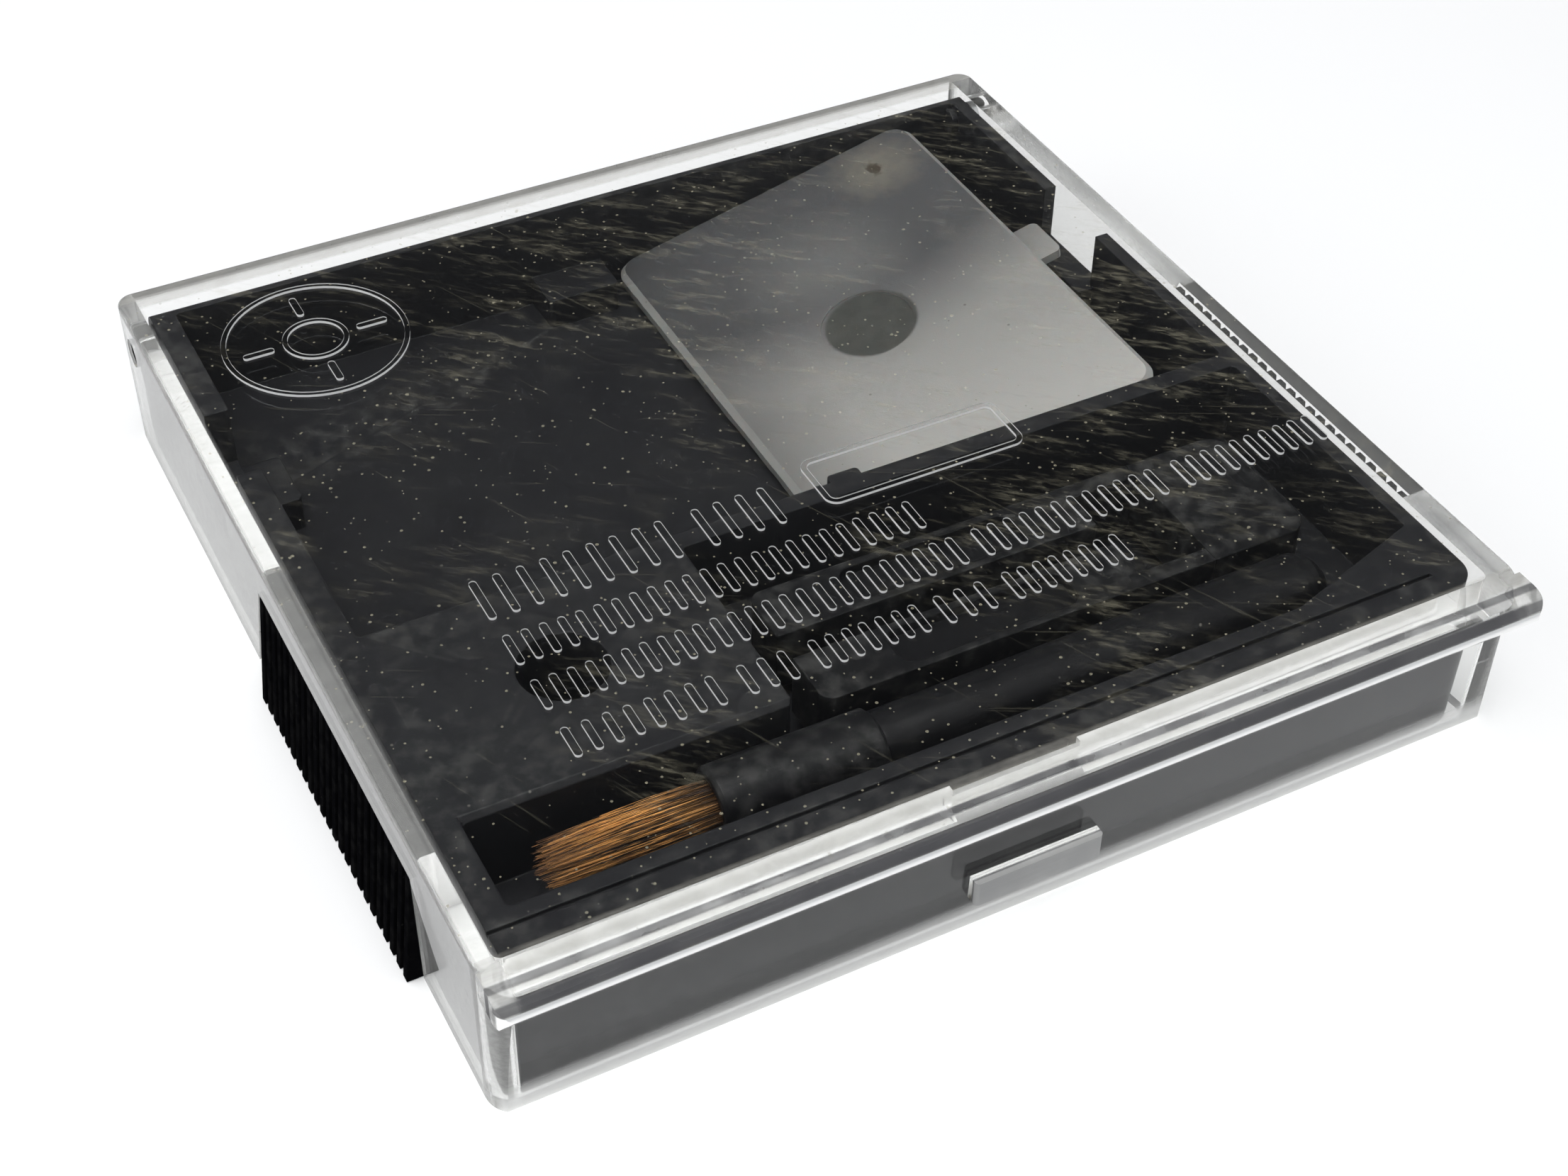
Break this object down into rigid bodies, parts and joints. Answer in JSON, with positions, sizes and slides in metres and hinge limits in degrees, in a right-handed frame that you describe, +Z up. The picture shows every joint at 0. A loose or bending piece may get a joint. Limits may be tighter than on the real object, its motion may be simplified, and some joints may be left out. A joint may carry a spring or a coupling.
{
  "type": "focusing screen kit",
  "caption": "Flat clear case hinged on a black tray, holding a frosted camera focusing screen, a cleaning brush and tweezers.",
  "frame": {"origin": "on the table, under the middle of the case's width and, front to back, under the middle of its body", "axes": "+X to the right along the front, +Y to the back where the hinge is, +Z up"},
  "size_m": [0.072, 0.0711, 0.0122],
  "materials": {
    "clear_plastic": "clear, scratched and dusty",
    "black_tray_plastic": "satin moulded",
    "hinge_pin": "satin",
    "frosted_screen": "fine matte, translucent",
    "brush_handle": "satin",
    "brush_collar": "satin",
    "bristle": "natural hair",
    "tweezer_plastic": "satin"
  },
  "bodies": {
    "tray": {"base_tray": "black_tray_plastic", "hinge_pin_left": "hinge_pin", "hinge_pin_right": "hinge_pin"},
    "cover": {"clear_cover": "clear_plastic"},
    "screen": {"focusing_screen": "frosted_screen"},
    "brush": {"brush_handle": "brush_handle", "brush_collar": "brush_collar", "brush_bristles": "bristle"},
    "tweezers": {"tweezer_tail": "tweezer_plastic"},
    "front_arm": {"tweezer_arm_front": "tweezer_plastic"},
    "back_arm": {"tweezer_arm_back": "tweezer_plastic"}
  },
  "joints": [
    {"name": "cover_hinge", "type": "hinge", "parent": "tray", "child": "cover", "pos_m": [0, 0.0315, 0.009], "axis": [-1, 0, 0], "range_deg": [0, 95]},
    {"name": "screen_tilt", "type": "hinge", "parent": "tray", "child": "screen", "pos_m": [0.00245, 0.0131, 0.00285], "axis": [0, 1, 0], "range_deg": [0, 13]},
    {"name": "brush_slide", "type": "slide", "parent": "tray", "child": "brush", "axis": [1, 0, 0], "range_m": [-0.0018, 0.0008]},
    {"name": "tweezers_slide", "type": "slide", "parent": "tray", "child": "tweezers", "axis": [1, 0, 0], "range_m": [0, 0.004]},
    {"name": "tweezers_pinch", "type": "hinge", "parent": "tweezers", "child": "back_arm", "pos_m": [0.0182, -0.0127, 0.0075], "axis": [0, 0, 1], "range_deg": [0, 1.9], "stiffness_Nm_per_rad": 0.02},
    {"name": "front_arm_pinch", "type": "hinge", "parent": "tweezers", "child": "front_arm", "pos_m": [0.0182, -0.0221, 0.0075], "axis": [0, 0, 1], "range_deg": [-1.9, 0], "stiffness_Nm_per_rad": 0.02}
  ],
  "couplings": [
    {"joint": "front_arm_pinch", "follows": "tweezers_pinch", "ratio": -1}
  ]
}
